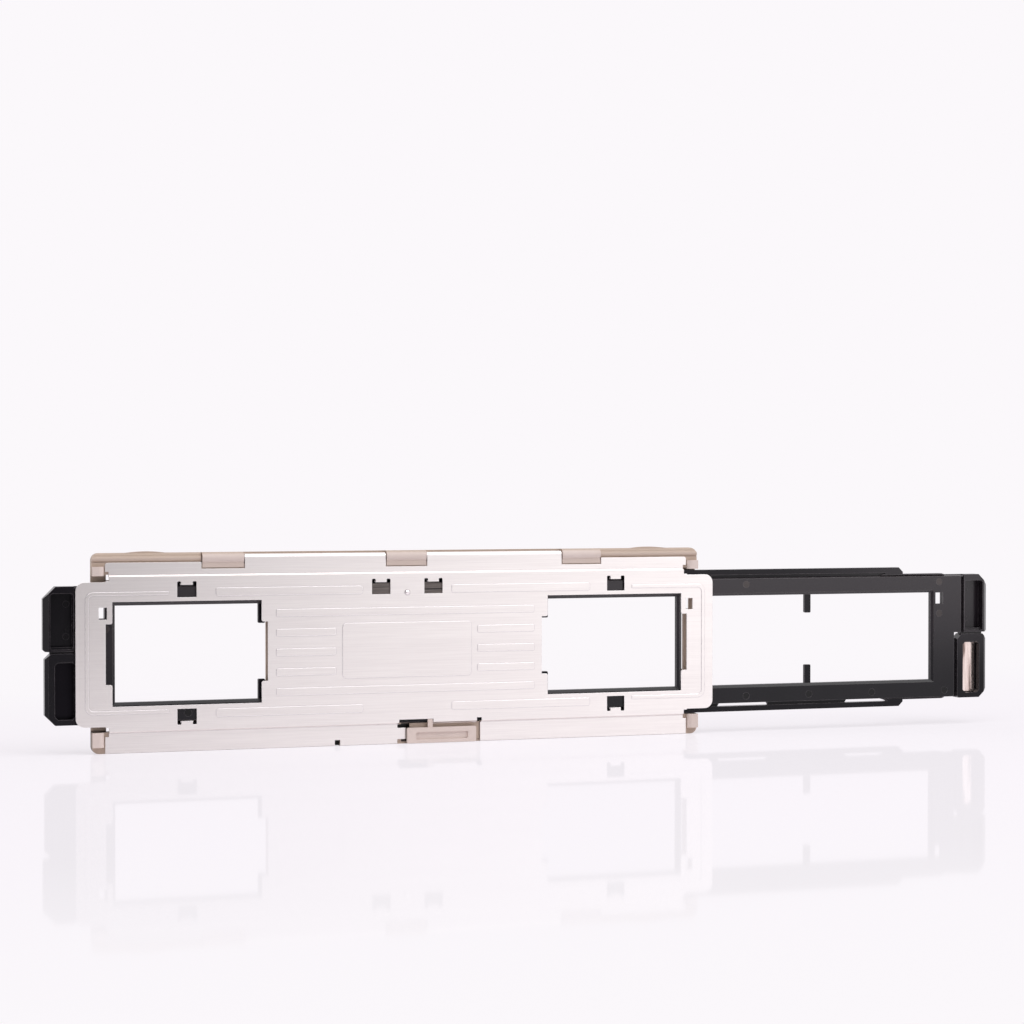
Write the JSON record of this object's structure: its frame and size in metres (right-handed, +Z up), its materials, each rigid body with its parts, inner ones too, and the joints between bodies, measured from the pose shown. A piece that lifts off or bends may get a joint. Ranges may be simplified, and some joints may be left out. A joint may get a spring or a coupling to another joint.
{
  "type": "strip film holder",
  "caption": "Slide-size film strip holder: hinged stamped cover on a moulded base, with a black two-part film carrier that slides through it behind two windows.",
  "frame": {"origin": "middle of the shell's long bottom edge, half way through its thickness", "axes": "+X along the film, to the right seen from the front; the front faces -Y; +Z up across the width of the film"},
  "size_m": [0.262, 0.0042, 0.0503],
  "materials": {
    "base_plastic": "warm grey moulded plastic, fine matt",
    "latch_plastic": "warm grey moulded plastic, fine matt",
    "pin_steel": "bright drawn wire",
    "cover_metal": "satin brushed sheet, fine grain along the length",
    "spring_steel": "rolled spring steel, bare",
    "carrier_plastic": "black moulded plastic, semi-gloss",
    "guide_plastic": "black moulded plastic, semi-gloss",
    "keeper_metal": "bright plated strip",
    "keeper_dark": "blackened strip"
  },
  "bodies": {
    "base": {"base_frame": "base_plastic", "hinge_pin": "pin_steel"},
    "cover": {"cover_plate": "cover_metal", "click_spring": "spring_steel", "spring_rivet": "cover_metal"},
    "latch": {"latch_slider": "latch_plastic"},
    "carrier": {"film_frame": "carrier_plastic", "keeper_left": "keeper_dark", "keeper_right": "keeper_metal"},
    "guide": {"film_guide": "guide_plastic"}
  },
  "joints": [
    {"name": "cover_hinge", "type": "hinge", "parent": "base", "child": "cover", "pos_m": [0, 0.00015, 0.0485], "axis": [-1, 0, 0], "range_deg": [0, 100]},
    {"name": "latch_slide", "type": "slide", "parent": "base", "child": "latch", "axis": [1, 0, 0], "range_m": [-0.0022, 0]},
    {"name": "carrier_slide", "type": "slide", "parent": "base", "child": "carrier", "axis": [1, 0, 0], "range_m": [-0.076, 0]},
    {"name": "guide_hinge", "type": "hinge", "parent": "carrier", "child": "guide", "pos_m": [0.038, -0.0005, 0.04135], "axis": [-1, 0, 0], "range_deg": [0, 70]}
  ],
  "couplings": [
    {"joint": "guide_hinge", "follows": "cover_hinge", "ratio": 0.7}
  ]
}
